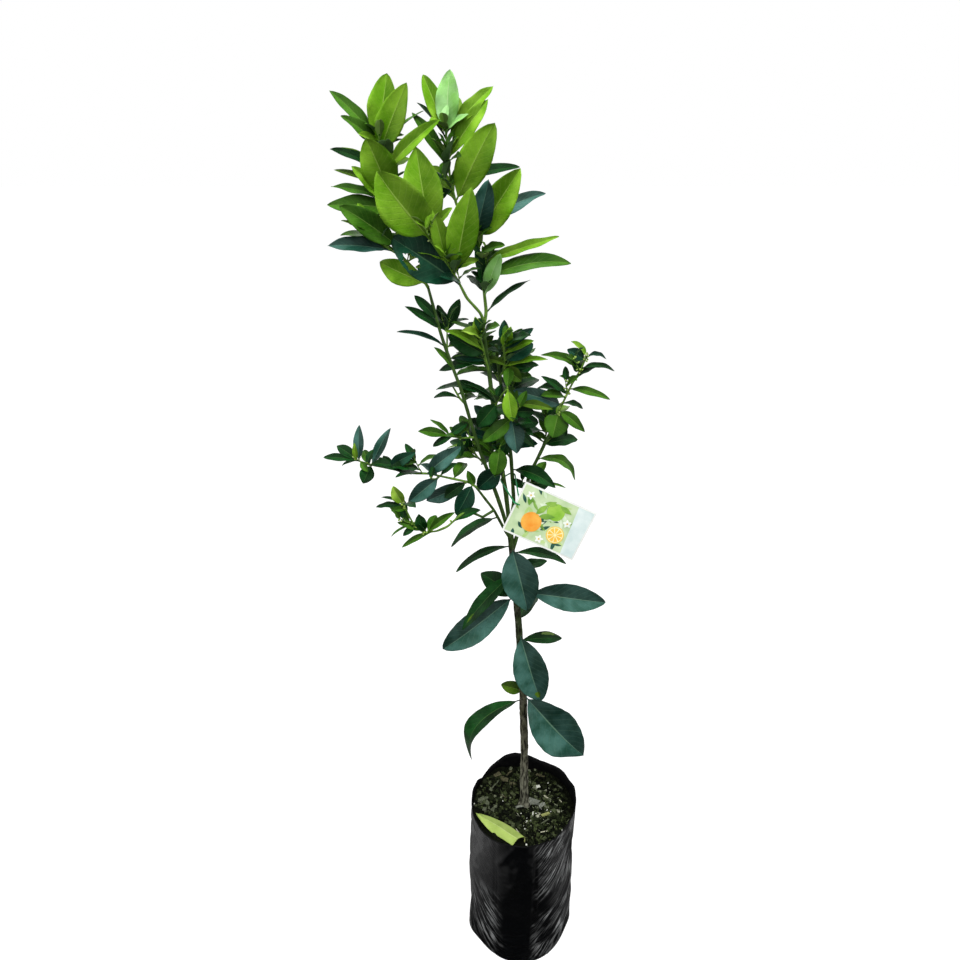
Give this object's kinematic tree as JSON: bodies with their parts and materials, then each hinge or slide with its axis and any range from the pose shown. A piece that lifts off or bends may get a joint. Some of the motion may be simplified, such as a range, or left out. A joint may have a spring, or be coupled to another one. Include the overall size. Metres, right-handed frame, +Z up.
{
  "type": "potted tangerine tree",
  "caption": "Young grafted tangerine tree with a slender trunk, forked boughs and open leafy crown, in a black polythene planter bag of potting mix with a hanging picture label.",
  "frame": {"origin": "centre of the flat underside of the planter bag", "axes": "+Z up along the trunk, +X to the right of the front view, +Y away from the front view"},
  "size_m": [0.3454, 0.1892, 1.2646],
  "materials": {
    "bag": "glossy creased black polythene film",
    "mix": "damp bark-based potting mix with pale chips and specks",
    "bark": "grey-brown fissured bark that turns green towards the fork",
    "stem": "smooth green young stems",
    "young_leaf": "thin satin bright yellow-green young leaves",
    "dark_leaf": "satin to glossy dark green leaves",
    "fallen": "wilted yellow-green leaf",
    "label": null,
    "tie": "green plastic tie"
  },
  "bodies": {
    "root": {"bough_leaf_arched_left": "dark_leaf", "bough_leaf_arched_right": "dark_leaf", "bough_leaf_crescent": "dark_leaf", "bough_leaf_left_long": "dark_leaf", "bough_leaf_left_narrow": "dark_leaf", "bough_leaf_left_small": "dark_leaf", "bough_leaf_left_top": "dark_leaf", "bough_leaf_left_upper": "dark_leaf", "bough_leaf_middle": "dark_leaf", "bough_leaf_upper_left": "dark_leaf", "centre_bough": "stem", "crown_front_low": "dark_leaf", "crown_front_middle": "dark_leaf", "crown_left_low": "dark_leaf", "crown_left_middle": "dark_leaf", "crown_left_top": "dark_leaf", "crown_rear_low": "dark_leaf", "crown_rear_middle": "dark_leaf", "crown_rear_right": "dark_leaf", "crown_rear_tip": "dark_leaf", "crown_rear_top": "dark_leaf", "crown_right_low": "dark_leaf", "crown_right_middle": "dark_leaf", "crown_right_top": "dark_leaf", "crown_tip_right": "dark_leaf", "fallen_leaf": "fallen", "head_left_foliage": "young_leaf", "head_middle_foliage": "young_leaf", "head_right_foliage": "young_leaf", "hook_bough": "stem", "hook_spray_foliage": "dark_leaf", "label_card": "label", "label_tie": "tie", "left_bough": "stem", "left_bough_rear": "dark_leaf", "left_bough_twig": "dark_leaf", "left_spray_foliage": "dark_leaf", "low_bough": "stem", "planter_bag": "bag", "potting_mix": "mix", "right_bough": "stem", "right_spray_foliage": "dark_leaf", "trunk": "bark", "trunk_leaf_front_middle": "dark_leaf", "trunk_leaf_front_upper": "dark_leaf", "trunk_leaf_left_big": "dark_leaf", "trunk_leaf_left_low": "dark_leaf", "trunk_leaf_left_narrow": "dark_leaf", "trunk_leaf_rear_high": "dark_leaf", "trunk_leaf_rear_left": "dark_leaf", "trunk_leaf_rear_low": "dark_leaf", "trunk_leaf_rear_right": "dark_leaf", "trunk_leaf_right": "dark_leaf", "trunk_leaf_right_low": "dark_leaf", "trunk_leaf_right_small": "dark_leaf", "trunk_leaf_under_label": "dark_leaf", "twin_bough": "stem"}
  },
  "joints": []
}
